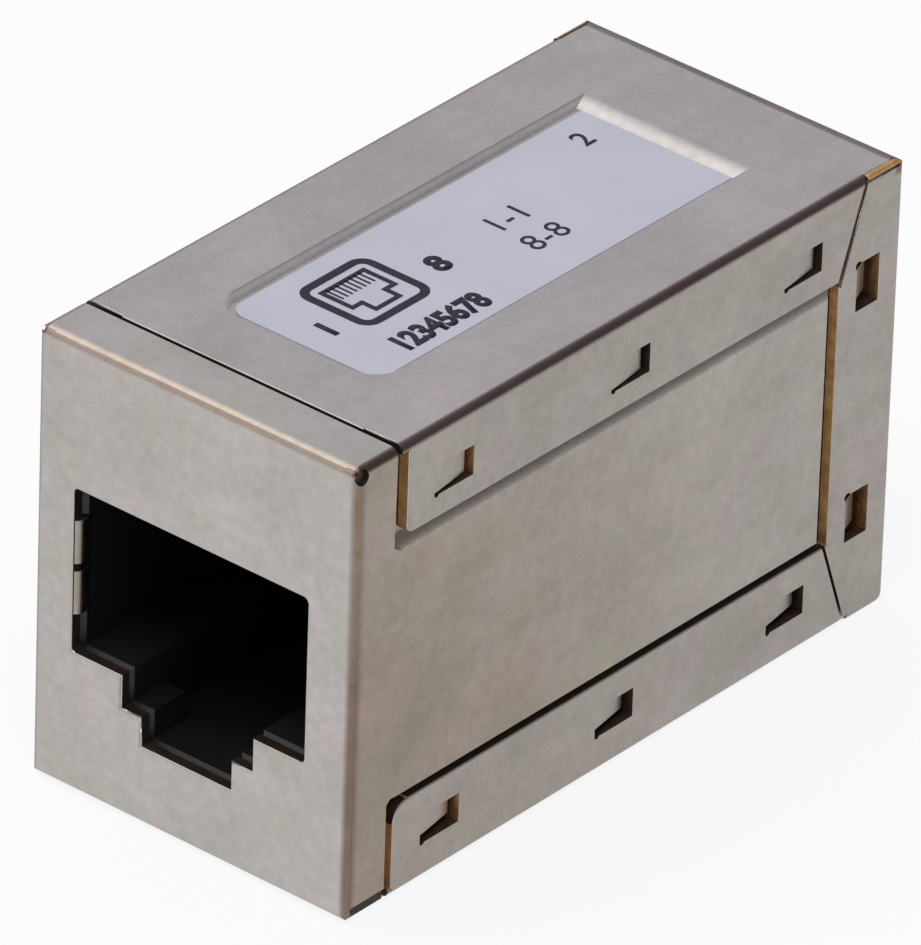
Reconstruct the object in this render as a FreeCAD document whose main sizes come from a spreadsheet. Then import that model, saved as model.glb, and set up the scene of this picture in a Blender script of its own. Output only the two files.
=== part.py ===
import FreeCAD, Part
import Sketcher
import os

# Shielded eight-way inline coupler: two modular sockets back to back on one board, inside a
# folded metal shell (front face and side walls) closed by a folded wrap (top, bottom, rear face).
# Millimetres. +Z up, +Y runs from the front face to the rear face, origin under the middle.

os.makedirs("parts", exist_ok=True)
doc = FreeCAD.newDocument("inline_coupler")

DIMENSIONS = [
    # outside of the folded metal
    ("width", 16.4, "outside width"),
    ("height", 20.7, "outside height"),
    ("length", 33.5, "outside length, front face to rear face"),
    ("sheet", 0.5, "sheet thickness of both folded parts"),
    ("bend", 0.42, "outside radius of the long folds and the upright folds"),
    ("face_bend", 0.65, "outside radius of the folds around the front and rear faces"),
    ("lap_gap", 0.03, "clearance between lapped sheets"),
    ("rear_edge", 0.25, "radius of the long edges behind the slanted seams"),
    ("end_slit", 0.06, "slit where a sheet end meets the sheet across it"),
    # front shell
    ("strip", 2.47, "depth of the front shell's top and bottom flanges"),
    ("strip_high", 2.42, "depth of the side wall's outer strip above the raised panel"),
    ("strip_low", 2.39, "depth of the side wall's outer strip below the raised panel"),
    ("joggle_run", 0.3, "length over which a wall steps in by one sheet"),
    ("flange_inset", 0.15, "how far the bottom flange ends short of the side"),
    ("corner_hole", 0.33, "radius of the relief hole at a folded corner"),
    ("corner_in", 0.42, "distance of the relief hole from the front face and the top"),
    ("panel_low", 4.66, "height of the raised side panel's lower edge"),
    ("panel_drop", 4.7, "distance of the raised side panel's upper edge below the top"),
    ("panel_back", 4.65, "distance of the raised side panel's rear edge from the rear face"),
    ("panel_rise", 0.42, "width of the slopes around the raised side panel"),
    ("panel_round", 0.5, "radius of the inner corners between the strip and the raised panel"),
    ("wall_gap", 0.05, "end clearance of the inner side walls"),
    # wrap cover
    ("seam", 0.22, "gap between front shell flanges and the wrap"),
    ("seam_notch", 0.07, "extra gap near both ends of the front seam"),
    ("notch_span", 2.0, "length of the wider seam at each side"),
    ("flap_front", 3.15, "distance of the upper flap's front edge from the front face"),
    ("foot_front", 2.87, "distance of the lower flap's front edge from the front face"),
    ("flap_drop", 4.2, "distance of the upper flap's lower edge below the top"),
    ("foot_high", 4.23, "height of the lower flap's upper edge"),
    ("rear_flap", 3.92, "reach of the rear flap forward of the rear face"),
    ("heel_round", 1.0, "corner radius of the rear flap's foot"),
    ("flap_round", 0.45, "corner radius of the upper flap"),
    ("foot_round", 0.9, "corner radius of the lower flap"),
    ("lap_slit", 0.03, "slit under the top panel where it laps over the rear flap"),
    ("mitre_gap", 0.16, "width of the slanted seams between flaps"),
    ("mitre_tilt", 19.5, "slant of the seams from the vertical, degrees"),
    ("mitre_high", 3.88, "distance of the upper seam's lower end from the rear face"),
    ("mitre_low", 4.15, "distance of the lower seam's upper end from the rear face"),
    # locking tabs struck inward from the flaps
    ("tab_long", 2.33, "long side of a tab window"),
    ("tab_tall", 1.33, "short side of a tab window"),
    ("tab_slit", 0.02, "clearance above a tab in its window"),
    ("tab_under", 0.14, "clearance below an upper tab in its window"),
    ("foot_tab_under", 0.42, "clearance below a lower tab in its window"),
    ("tab_short", 0.3, "gap at the free end of a tab"),
    ("tab_lean", 3.0, "inward lean of an upper tab, degrees"),
    ("foot_tab_lean", 5.5, "inward lean of a lower tab, degrees"),
    ("tab_relief", 0.14, "radius of the relief hole at a tab's hinge"),
    ("catch_gap", 0.15, "clearance of the catch window around a tab"),
    ("tab_first", 4.72, "distance of the first upper tab window from the front face"),
    ("foot_tab_back", 0.2, "how far the lower tab windows sit forward of the upper ones"),
    ("tab_last", 5.15, "distance of the last upper tab window from the rear face"),
    ("tab_drop", 3.14, "distance of the upper tab windows' lower edge below the top"),
    ("tab_foot", 1.7, "height of the lower tab windows' lower edge"),
    ("rear_tab_back", 2.85, "distance of the rear tab windows' front edge from the rear face"),
    ("rear_tab_drop", 6.05, "distance of the upper rear tab window's lower edge below the top"),
    ("rear_tab_low", 3.87, "height of the lower rear tab window"),
    ("rear_tab_tall", 2.2, "height of a rear tab window"),
    ("rear_tab_wide", 1.4, "width of a rear tab window"),
    ("rear_tab_long", 0.9, "length of a rear tab across its window"),
    ("rear_tab_under", 0.62, "clearance below a rear tab in its window"),
    ("rear_tab_lean", 14.0, "inward lean of a rear tab, degrees"),
    ("rear_tab_relief", 0.2, "radius of the relief hole at a rear tab's hinge"),
    # label and its recess
    ("recess_wide", 8.2, "width of the label recess"),
    ("recess_front", 5.98, "distance of the label recess from the front face"),
    ("recess_back", 5.8, "distance of the foot of the recess's rear slope from the rear face"),
    ("recess_deep", 0.3, "depth of the label recess"),
    ("recess_ramp", 0.8, "run of the sloped rear wall of the recess"),
    ("recess_round", 1.1, "radius of the recess's front corners"),
    ("label_inset", 0.2, "gap between label edge and recess edge"),
    ("label_end", 0.07, "gap between the label and the foot of the recess's rear slope"),
    ("label_front", 0.17, "gap between the label and the front edge of the recess"),
    ("label_shift", 0.13, "sideways offset of the label in its recess"),
    ("label_thick", 0.08, "label thickness"),
    ("label_round", 0.8, "radius of the label's front corners"),
    # opening in the metal for a plug
    ("port_wide", 12.05, "width of the port opening in the metal"),
    ("port_top", 14.02, "height of the port opening's upper edge"),
    ("port_shoulder", 6.55, "height of the shoulders of the port opening"),
    ("step_wide", 6.82, "width of the first step of the port opening"),
    ("step_low", 5.05, "height of the first step"),
    ("notch_wide", 4.66, "width of the latch notch"),
    ("notch_low", 3.73, "height of the bottom of the latch notch"),
    ("port_round", 0.2, "corner radius of the port opening"),
    ("port_shift", -0.13, "sideways offset of the port from the middle"),
    ("ground_low", 8.22, "height of the lower grounding lip's bottom"),
    ("ground_tall", 1.97, "height of one grounding lip"),
    ("ground_pitch", 2.32, "spacing of the two grounding lips"),
    ("ground_bend", 0.5, "fold radius of a grounding lip"),
    ("ground_in", 0.2, "how far a grounding lip narrows the opening"),
    ("ground_deep", 0.85, "depth of a grounding lip behind the face"),
    ("ground_room", 0.08, "clearance of the housing around the grounding lips"),
    # socket housing
    ("mouth", 0.55, "distance of the socket mouth from the metal face"),
    ("body_side", 0.22, "clearance between a housing's sides and the inner side walls"),
    ("body_low", 0.55, "height of the underside of a housing"),
    ("body_roof", 2.3, "thickness of a housing's roof above the plug cavity"),
    ("body_back", 1.55, "distance of the back of a housing from the middle of the coupler"),
    ("cavity_wide", 11.8, "width of the plug cavity"),
    ("cavity_top", 13.6, "height of the plug cavity's ceiling"),
    ("back_wall", 2.0, "thickness of a housing's back wall"),
    ("ledge", 0.05, "plastic shoulder height above the metal shoulder"),
    ("side_ledge", 0.05, "plastic step side inside the metal step side"),
    ("lead_in", 0.22, "chamfer around the socket mouth"),
    ("latch_wall", 2.1, "thickness of the wall a plug latch hooks behind"),
    ("well_wide", 9.5, "width of the contact well in the ceiling"),
    ("well_front", 3.2, "distance of the contact well from the metal face"),
    ("well_back", 12.8, "distance of the contact well's rear edge from the metal face"),
    ("peg", 0.6, "radius of a board locating peg"),
    ("peg_side", 1.35, "distance of the pegs in from a housing's sides"),
    ("peg_back", 1.1, "distance of the pegs in from a housing's back"),
    ("pad_in", 0.75, "distance of the housing's side pads in from the end of the raised panel"),
    ("pad_long", 6.0, "length of a side pad"),
    ("pad_low", 7.0, "height of the underside of a side pad"),
    ("pad_tall", 5.5, "height of a side pad"),
    ("fit", 0.05, "general sliding clearance"),
    # contacts and carrier
    ("pitch", 1.016, "spacing of the contacts"),
    ("wire", 0.4, "thickness of a contact wire"),
    ("wire_bend", 0.25, "inside radius of the contact's return bend"),
    ("run_over", 0.5, "height of the wires' straight run above the cavity's ceiling"),
    ("nose", 4.0, "distance of the return bend's centre from the metal face"),
    ("spring_long", 5.2, "length of the contact's spring arm"),
    ("spring_tilt", 21.0, "slope of the spring arm, degrees"),
    ("pin_near", 9.3, "distance of the odd pins from the metal face"),
    ("pin_far", 11.3, "distance of the even pins from the metal face"),
    ("pin_out", 0.35, "how far the pins stand out of the board"),
    ("comb_rib", 0.44, "thickness of the comb ribs between wires"),
    ("comb_deep", 0.6, "depth of the comb ribs"),
    # board
    ("board_gap", 0.05, "clearance between housings and board"),
    ("board_thick", 1.0, "board thickness"),
    ("board_side", 0.35, "distance of the board's edges in from a housing's sides"),
    ("board_end", 5.0, "distance of the board's ends from the metal faces"),
    ("pin_hole", 0.32, "half width of the board's square pin holes"),
]

d = doc.addObject("Spreadsheet::Sheet", "d")
for row, (alias, value, note) in enumerate(DIMENSIONS, start=1):
    d.set("A%d" % row, note)
    d.set("B%d" % row, str(value))
    d.setAlias("B%d" % row, alias)
doc.recompute()

FRONT = "-d.length / 2"
REAR = "d.length / 2"
HALF = "d.width / 2"
INNER = "d.width / 2 - d.sheet"
LAP_OUT = "d.width / 2 - d.sheet - d.lap_gap"
LAP_IN = "d.width / 2 - 2 * d.sheet - d.lap_gap"
FAR = "d.width"
FLAP_LOW = "d.height - d.flap_drop"
PANEL_HIGH = "(d.height - d.panel_drop)"
BODY_HALF = "(d.width / 2 - 2 * d.sheet - d.lap_gap - d.body_side)"
BODY_TOP = "d.cavity_top + d.body_roof"
BODY_BACK = "d.length / 2 - d.body_back"
CAVITY_BACK = "d.length / 2 - d.body_back - d.back_wall"
PEG_X = "(%s - d.peg_side)" % BODY_HALF
PEG_BACK = "d.length / 2 - d.body_back - d.peg_back"
RUN_HIGH = "d.cavity_top + d.run_over"
BOARD_LOW = "d.cavity_top + d.body_roof + d.board_gap"
BOARD_HIGH = "d.cavity_top + d.body_roof + d.board_gap + d.board_thick"


def from_front(expr):
    """Position along Y of a point given by its distance behind the front face."""
    return "(%s) - d.length / 2" % expr


def from_rear(expr):
    """Position along Y of a point given by its distance ahead of the rear face."""
    return "d.length / 2 - (%s)" % expr


def bind(obj, **exprs):
    for prop, expr in exprs.items():
        obj.setExpression(prop, expr)


def place(obj, x="0", y="0", z="0"):
    for axis, expr in zip("xyz", (x, y, z)):
        obj.setExpression("Placement.Base." + axis, expr)


def span(lo, hi):
    return "(%s) - (%s)" % (hi, lo)


def box(name, x, y, z):
    obj = doc.addObject("Part::Box", name)
    bind(obj, Length=span(*x), Width=span(*y), Height=span(*z))
    place(obj, x[0], y[0], z[0])
    return obj


def wide_box(name, half, y, z, centre="0"):
    return box(name, ("(%s) - (%s)" % (centre, half), "(%s) + (%s)" % (centre, half)), y, z)


def frustum_x(name, x, y_low, z_low, y_high, z_high):
    """Solid between two rectangles, one at each X, given by their Y and Z ranges."""
    obj = doc.addObject("Part::Wedge", name)
    obj.Placement.Rotation = FreeCAD.Rotation(FreeCAD.Vector(0, 0, 1), -90)
    bind(obj, Ymin=x[0], Ymax=x[1])
    bind(obj, Xmin="-(%s)" % y_low[1], Xmax="-(%s)" % y_low[0], Zmin=z_low[0], Zmax=z_low[1])
    bind(obj, X2min="-(%s)" % y_high[1], X2max="-(%s)" % y_high[0], Z2min=z_high[0], Z2max=z_high[1])
    return obj


def frustum_y(name, y, x_low, z_low, x_high, z_high):
    """Solid between two rectangles, one at each Y, given by their X and Z ranges."""
    obj = doc.addObject("Part::Wedge", name)
    bind(obj, Ymin=y[0], Ymax=y[1])
    bind(obj, Xmin=x_low[0], Xmax=x_low[1], Zmin=z_low[0], Zmax=z_low[1])
    bind(obj, X2min=x_high[0], X2max=x_high[1], Z2min=z_high[0], Z2max=z_high[1])
    return obj


def cylinder(name, radius, long, x, y, z, axis="z"):
    obj = doc.addObject("Part::Cylinder", name)
    bind(obj, Radius=radius, Height=long)
    if axis == "x":
        obj.Placement.Rotation = FreeCAD.Rotation(FreeCAD.Vector(0, 1, 0), 90)
    place(obj, x, y, z)
    return obj


def join(name, shapes):
    obj = doc.addObject("Part::MultiFuse", name)
    obj.Shapes = shapes
    return obj


def keep(name, shapes):
    obj = doc.addObject("Part::MultiCommon", name)
    obj.Shapes = shapes
    return obj


def cut(name, base, tools):
    tool = tools[0] if len(tools) == 1 else join(name + "_tools", tools)
    obj = doc.addObject("Part::Cut", name)
    obj.Base = base
    obj.Tool = tool
    return obj


def mirror_x(name, source):
    obj = doc.addObject("Part::Mirroring", name)
    obj.Source = source
    obj.Normal = FreeCAD.Vector(1, 0, 0)
    return obj


def both_sides(name, source):
    return join(name, [source, mirror_x(name + "_left", source)])


def round_block(name, x, y, z, along, radius):
    """Padded rectangle with every edge parallel to one axis rounded."""
    body = doc.addObject("PartDesign::Body", name)
    sketch = body.newObject("Sketcher::SketchObject", name + "_outline")
    planes = [f for f in body.Origin.OriginFeatures if f.Name.startswith("XY_Plane")]
    sketch.AttachmentSupport = (planes[0], [""])
    sketch.MapMode = "FlatFace"
    corners = [(-1, -1), (1, -1), (1, 1), (-1, 1)]
    for i in range(4):
        a = FreeCAD.Vector(corners[i][0], corners[i][1], 0)
        b = FreeCAD.Vector(corners[(i + 1) % 4][0], corners[(i + 1) % 4][1], 0)
        sketch.addGeometry(Part.LineSegment(a, b), False)
    for i in range(4):
        sketch.addConstraint(Sketcher.Constraint("Coincident", i, 2, (i + 1) % 4, 1))
        sketch.addConstraint(Sketcher.Constraint("Horizontal" if i % 2 == 0 else "Vertical", i))
    sketch.addConstraint(Sketcher.Constraint("Symmetric", 0, 1, 1, 2, -1, 1))
    wide = sketch.addConstraint(Sketcher.Constraint("DistanceX", 0, 1, 0, 2, 2.0))
    deep = sketch.addConstraint(Sketcher.Constraint("DistanceY", 1, 1, 1, 2, 2.0))
    sketch.setExpression("Constraints[%d]" % wide, span(*x))
    sketch.setExpression("Constraints[%d]" % deep, span(*y))
    pad = body.newObject("PartDesign::Pad", name + "_pad")
    pad.Profile = sketch
    bind(pad, Length=span(*z))
    place(body, "((%s) + (%s)) / 2" % x, "((%s) + (%s)) / 2" % y, z[0])
    doc.recompute()
    edges = []
    for i, edge in enumerate(pad.Shape.Edges):
        way = edge.tangentAt(edge.FirstParameter)
        if abs(way.dot(along)) > 0.99:
            edges.append("Edge%d" % (i + 1))
    fillet = body.newObject("PartDesign::Fillet", name + "_round")
    fillet.Base = (pad, edges)
    bind(fillet, Radius=radius)
    return body


ALONG_X = FreeCAD.Vector(1, 0, 0)
ALONG_Y = FreeCAD.Vector(0, 1, 0)
ALONG_Z = FreeCAD.Vector(0, 0, 1)

PORT_X = "d.port_shift"


def port_tool(name, y):
    """Stepped plug outline as a solid: main width, first step, latch notch."""
    x = ("d.port_shift - d.port_wide / 2", "d.port_shift + d.port_wide / 2")
    main = round_block(name + "_main", x, y, ("d.port_shoulder", "d.port_top"), ALONG_Y, "d.port_round")
    step = wide_box(name + "_step", "d.step_wide / 2", y, ("d.step_low", "d.port_shoulder + 1"), PORT_X)
    notch = wide_box(name + "_notch", "d.notch_wide / 2", y, ("d.notch_low", "d.step_low + 1"), PORT_X)
    return join(name, [main, step, notch])


def corner(name, x, y, z, radius, inward_y, inward_z):
    """What lies between a square corner at y, z and the arc that rounds it, as a prism along X."""
    hub_y = "(%s) %s %s" % (y, inward_y, radius)
    hub_z = "(%s) %s %s" % (z, inward_z, radius)
    y_pair = (y, hub_y) if inward_y == "+" else (hub_y, y)
    z_pair = (z, hub_z) if inward_z == "+" else (hub_z, z)
    drum = cylinder(name + "_drum", radius, span(*x) + " + 0.2", "(%s) - 0.1" % x[0], hub_y, hub_z, "x")
    return cut(name, box(name + "_block", x, y_pair, z_pair), [drum])


def turned(obj):
    """Turn a finished piece half round the vertical, from the front socket to the rear one."""
    obj.Placement = FreeCAD.Placement(FreeCAD.Vector(0, 0, 0), FreeCAD.Rotation(ALONG_Z, 180))
    return obj


# ---------------------------------------------------------------- outside form of the metal
FULL_X = ("-" + HALF, HALF)
FULL_Y = (FRONT, REAR)
FULL_Z = ("0", "d.height")
MITRE_TOP = from_rear("d.mitre_high - d.flap_drop * tan(d.mitre_tilt * 1deg)")
MITRE_FOOT = from_rear("d.mitre_low - d.foot_high * tan(d.mitre_tilt * 1deg)")
fold_over = round_block("fold_over", FULL_X, FULL_Y, FULL_Z, ALONG_X, "d.face_bend")
fold_round = round_block("fold_round", FULL_X, FULL_Y, FULL_Z, ALONG_Z, "d.bend")
waist = round_block("waist", FULL_X, (FRONT, MITRE_TOP), FULL_Z, ALONG_Y, "d.bend")
rear_section = round_block("rear_section", FULL_X, (MITRE_TOP, REAR), FULL_Z, ALONG_Y, "d.rear_edge")
outside = keep("outside", [fold_over, fold_round, join("sections", [waist, rear_section])])
inside = wide_box("inside", INNER, (FRONT + " + d.sheet", REAR + " - d.sheet"),
                  ("d.sheet", "d.height - d.sheet"))
skin = cut("skin", outside, [inside])

# ---------------------------------------------------------------- locking tabs
TAB_PITCH = "(d.length - d.tab_first - d.tab_last - d.tab_long) / 2"
TAB_ROWS = [
    ("upper", "d.height - d.tab_drop", "d.tab_first", "d.tab_under", "d.tab_lean"),
    ("lower", "d.tab_foot", "d.tab_first - d.foot_tab_back", "d.foot_tab_under", "d.foot_tab_lean"),
]
REAR_TABS = [("rear_upper", "d.height - d.rear_tab_drop"), ("rear_lower", "d.rear_tab_low")]
window_tools = []
catch_tools = []
tabs = []


def leaning_tab(name, y, z, long, tall, lean):
    """Tab hinged along its front edge, flush with the side there, its rear end leaning inward."""
    tab = doc.addObject("Part::Box", name)
    tab.Placement.Rotation = FreeCAD.Rotation(ALONG_Z, 0)
    bind(tab, Length="d.sheet", Width=long, Height=tall)
    tab.setExpression("Placement.Rotation.Angle", lean)
    tab.setExpression("Placement.Rotation.Axis.z", "1")
    place(tab, "%s - d.sheet * cos(%s * 1deg)" % (HALF, lean), "%s - d.sheet * sin(%s * 1deg)" % (y, lean), z)
    return tab


for row, low, first, under, lean in TAB_ROWS:
    for i in range(3):
        tag = "%s_tab_%d" % (row, i + 1)
        start = "%s + %d * %s" % (first, i, TAB_PITCH)
        stop = start + " + d.tab_long"
        high = low + " + d.tab_tall"
        window_tools.append(box(tag + "_window", (INNER + " - 0.1", FAR),
                                (from_front(start), from_front(stop)), (low, high)))
        window_tools.append(cylinder(tag + "_relief", "d.tab_relief", "d.sheet + 0.2", INNER + " - 0.1",
                                     from_front(start + " + d.tab_relief"), low + " + d.tab_relief / 3", "x"))
        catch_tools.append(box(tag + "_catch", (LAP_IN + " - 0.1", INNER),
                               (from_front(start + " - d.catch_gap"), from_front(stop)),
                               (low + " - d.catch_gap", high + " + d.catch_gap")))
        tabs.append(leaning_tab(tag, from_front(start), "%s + %s" % (low, under), "d.tab_long - d.tab_short",
                                "d.tab_tall - d.tab_slit - " + under, lean))
for tag, low in REAR_TABS:
    start = from_rear("d.rear_tab_back")
    stop = from_rear("d.rear_tab_back - d.rear_tab_wide")
    high = low + " + d.rear_tab_tall"
    window_tools.append(box(tag + "_window", (INNER + " - 0.1", FAR), (start, stop), (low, high)))
    window_tools.append(cylinder(tag + "_relief", "d.rear_tab_relief", "d.sheet + 0.2", INNER + " - 0.1",
                                 start + " + d.rear_tab_relief / 2", high + " - d.rear_tab_relief / 2", "x"))
    catch_tools.append(box(tag + "_catch", (LAP_IN + " - 0.1", INNER),
                           (start + " - d.catch_gap", stop + " + 0.1"), (low, high + " + d.catch_gap")))
    tabs.append(leaning_tab(tag, start, low + " + d.rear_tab_under", "d.rear_tab_long",
                            "d.rear_tab_tall - d.rear_tab_under - d.rear_tab_relief", "d.rear_tab_lean"))

# ---------------------------------------------------------------- front shell
front_zone = wide_box("front_zone", FAR, (FRONT + " - 1", from_front("d.strip")),
                      ("-1", "d.height + 1"))
face_and_flanges = keep("face_and_flanges", [skin, front_zone])
lap_wall = box("lap_wall", (LAP_IN, LAP_OUT),
               (from_front("d.strip_low - d.sheet"), REAR + " - d.sheet - d.wall_gap"),
               ("d.sheet + d.end_slit", "d.height - d.sheet - d.end_slit"))
WALL_Z = ("d.sheet + d.end_slit", "d.height - d.sheet - d.end_slit")
PANEL_MID = "(d.panel_low + %s) / 2" % PANEL_HIGH
LAP_START = from_front("d.strip_low - d.sheet")
strips = []
for tag, edge, z in (("high_strip", "d.strip_high", (PANEL_MID, WALL_Z[1])),
                     ("low_strip", "d.strip_low", (WALL_Z[0], PANEL_MID))):
    strips.append(frustum_x(tag, (LAP_OUT, HALF),
                            (LAP_START, from_front(edge + " + d.joggle_run")), z,
                            (LAP_START, from_front(edge)), z))
PANEL_REAR = from_rear("d.panel_back")
panel_out = frustum_x("panel_out", (LAP_OUT, HALF),
                      (LAP_START, PANEL_REAR + " + d.panel_rise"),
                      ("d.panel_low - d.panel_rise / 2", PANEL_HIGH + " + d.panel_rise"),
                      (LAP_START, PANEL_REAR), ("d.panel_low", PANEL_HIGH))
panel_in = frustum_x("panel_in", (LAP_IN, INNER),
                     (LAP_START + " - d.sheet", PANEL_REAR),
                     ("d.panel_low + d.sheet / 2", PANEL_HIGH),
                     (LAP_START + " - d.sheet", PANEL_REAR + " - d.sheet"),
                     ("d.panel_low + d.sheet", PANEL_HIGH + " - d.sheet"))
inner_corners = [
    corner("high_inner_corner", (LAP_OUT, HALF), from_front("d.strip_high"), PANEL_HIGH,
           "d.panel_round", "+", "+"),
    corner("low_inner_corner", (LAP_OUT, HALF), from_front("d.strip_low"), "d.panel_low",
           "d.panel_round", "+", "-")]
wall_solid = join("wall_solid", [lap_wall, panel_out] + strips + inner_corners)
wall_right = cut("wall_right", wall_solid, [panel_in] + catch_tools)
STRIP_Y = (FRONT + " + d.corner_in", from_front("d.strip + d.seam"))
reliefs = [
    cylinder("corner_hole", "d.corner_hole", "d.width / 2", INNER + " - 0.2", FRONT + " + d.corner_in",
             "d.height - d.corner_in", "x"),
    box("bottom_end_slit", (INNER + " - 0.1", FAR), STRIP_Y, ("d.sheet", "d.sheet + d.end_slit")),
    box("flange_end", (HALF + " - d.flange_inset", FAR), STRIP_Y, ("-1", "d.sheet + d.end_slit / 2"))]
side_reliefs = both_sides("side_reliefs", join("right_reliefs", reliefs))
front_port = port_tool("front_port", (FRONT + " - 1", FRONT + " + d.sheet + 0.5"))


def ground_lips(name):
    """Two lips on each side of a port, folded inward from the metal around it."""
    lips = []
    for sign, tag in ((1, "right"), (-1, "left")):
        edge = "d.port_shift + %d * (d.port_wide / 2 - d.ground_in)" % sign
        axis_x = "d.port_shift + %d * (d.port_wide / 2 - d.ground_in + d.ground_bend)" % sign
        for i in range(2):
            low = "d.ground_low + %d * d.ground_pitch" % i
            lip = "%s_%s_%d" % (name, tag, i + 1)
            tall = (low, "(%s) + d.ground_tall" % low)
            leg_x = (edge, axis_x) if sign > 0 else (axis_x, edge)
            roll = cylinder(lip + "_roll", "d.ground_bend", "d.ground_tall", axis_x,
                            FRONT + " + d.ground_bend", low)
            quarter = box(lip + "_quarter", leg_x, (FRONT, FRONT + " + d.ground_bend"), tall)
            leg = box(lip + "_leg", leg_x, (FRONT + " + d.ground_bend", FRONT + " + d.ground_deep"), tall)
            lips += [keep(lip + "_fold", [roll, quarter]), leg]
    return lips


shell_body = join("shell_body", [face_and_flanges, both_sides("side_walls", wall_right)])
shell_cut = cut("shell_cut", shell_body, [side_reliefs, front_port])
front_shell = join("front_shell", [shell_cut] + ground_lips("front_lip"))

# ---------------------------------------------------------------- wrap cover
wrap_zone = wide_box("wrap_zone", FAR, (from_front("d.strip + d.seam"), REAR + " + 1"),
                     ("-1", "d.height + 1"))
wrap_blank = keep("wrap_blank", [skin, wrap_zone])
SIDE_X = (INNER + " - 0.1", FAR)
side_window = box("side_window", SIDE_X, (FRONT, REAR + " - d.rear_flap"),
                  ("d.foot_high", FLAP_LOW))
flap_trim = box("flap_trim", SIDE_X, (FRONT, from_front("d.flap_front")),
                (FLAP_LOW + " - 1", "d.height - d.bend"))
foot_trim = box("foot_trim", SIDE_X, (FRONT, from_front("d.foot_front")),
                ("d.bend", "d.foot_high + 1"))
seam_end = box("seam_end", (HALF + " - d.notch_span", FAR),
               (FRONT, from_front("d.strip + d.seam + d.seam_notch")), ("d.height - 1", "d.height + 1"))
slits = [
    box("top_rear_slit", SIDE_X, (MITRE_TOP + " - d.mitre_gap", REAR + " - d.sheet"),
        ("d.height - d.rear_edge - d.lap_slit", "d.height - d.rear_edge")),
    box("bottom_rear_slit", (INNER + " - d.end_slit", INNER), (MITRE_FOOT, REAR + " + 1"),
        ("-1", "d.sheet + d.end_slit"))]


def mitre(name, y, z, long, angle):
    obj = doc.addObject("Part::Box", name)
    obj.Placement.Rotation = FreeCAD.Rotation(ALONG_X, 0)
    bind(obj, Length="d.width / 2 - (%s) + 0.1" % INNER, Width="d.mitre_gap", Height=long)
    obj.setExpression("Placement.Rotation.Angle", angle)
    obj.setExpression("Placement.Rotation.Axis.x", "1")
    obj.setExpression("Placement.Rotation.Axis.z", "0")
    place(obj, INNER + " - 0.05", y, z)
    return obj


mitre_high = mitre("mitre_high",
                   from_rear("d.mitre_high + d.mitre_gap / 2 + 0.2 * tan(d.mitre_tilt * 1deg)"),
                   FLAP_LOW + " - 0.2", "d.flap_drop / cos(d.mitre_tilt * 1deg)", "-d.mitre_tilt")
mitre_low = mitre("mitre_low", MITRE_FOOT + " - d.mitre_gap / 2 + 0.1 * tan(d.mitre_tilt * 1deg)",
                  "-0.1", "(d.foot_high + 0.3) / cos(d.mitre_tilt * 1deg)", "d.mitre_tilt")
rounding = [
    corner("flap_corner", SIDE_X, from_front("d.flap_front"), FLAP_LOW, "d.flap_round", "+", "+"),
    corner("foot_corner", SIDE_X, from_front("d.foot_front"), "d.foot_high", "d.foot_round", "+", "-"),
    corner("heel_corner", SIDE_X, REAR, "0", "d.heel_round", "-", "+")]
side_tools = [side_window, flap_trim, foot_trim, seam_end, mitre_high, mitre_low]
side_cut = both_sides("side_cut", join("right_cut", side_tools + slits + rounding + window_tools))
rear_port = turned(port_tool("rear_port", (FRONT + " - 1", FRONT + " + d.sheet + 0.5")))
recess_y = (from_front("d.recess_front"), from_rear("d.recess_back"))
recess_middle = "((%s) + (%s)) / 2" % recess_y
floor_z = "d.height - d.recess_deep"
recess_pan = box("recess_pan", ("-d.recess_wide / 2 - d.sheet", "d.recess_wide / 2 + d.sheet"),
                 (recess_y[0] + " - d.sheet", recess_y[1] + " + d.recess_ramp + d.sheet"),
                 (floor_z + " - d.sheet", "d.height - d.sheet"))
RECESS_X = ("-d.recess_wide / 2", "d.recess_wide / 2")
recess_z = (floor_z, "d.height + 1")
recess_nose = round_block("recess_nose", RECESS_X, recess_y, recess_z, ALONG_Z, "d.recess_round")
recess_tail = box("recess_tail", RECESS_X, (recess_middle, recess_y[1]), recess_z)
ramp_y = (recess_y[1] + " - 0.01", recess_y[1] + " + d.recess_ramp")
recess_ramp = frustum_y("recess_rear_ramp", ramp_y, RECESS_X, (floor_z, "d.height + 0.5"),
                        RECESS_X, ("d.height", "d.height + 0.5"))
wrap_cut = cut("wrap_cut", join("wrap_pan", [wrap_blank, recess_pan]),
               [side_cut, rear_port, recess_nose, recess_tail, recess_ramp])
rear_lips = turned(join("rear_lips", ground_lips("rear_lip")))
wrap_cover = join("wrap_cover", [wrap_cut, both_sides("tabs", join("right_tabs", tabs)), rear_lips])

LABEL_X = ("d.label_shift - d.recess_wide / 2 + d.label_inset",
           "d.label_shift + d.recess_wide / 2 - d.label_inset")
label_y = (recess_y[0] + " + d.label_front", recess_y[1] + " - d.label_end")
label_z = (floor_z, floor_z + " + d.label_thick")
label_nose = round_block("label_nose", LABEL_X, label_y, label_z, ALONG_Z, "d.label_round")
label_tail = box("label_tail", LABEL_X, (recess_middle, label_y[1]), label_z)
label = join("label", [label_nose, label_tail])
label.Refine = True


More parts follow.
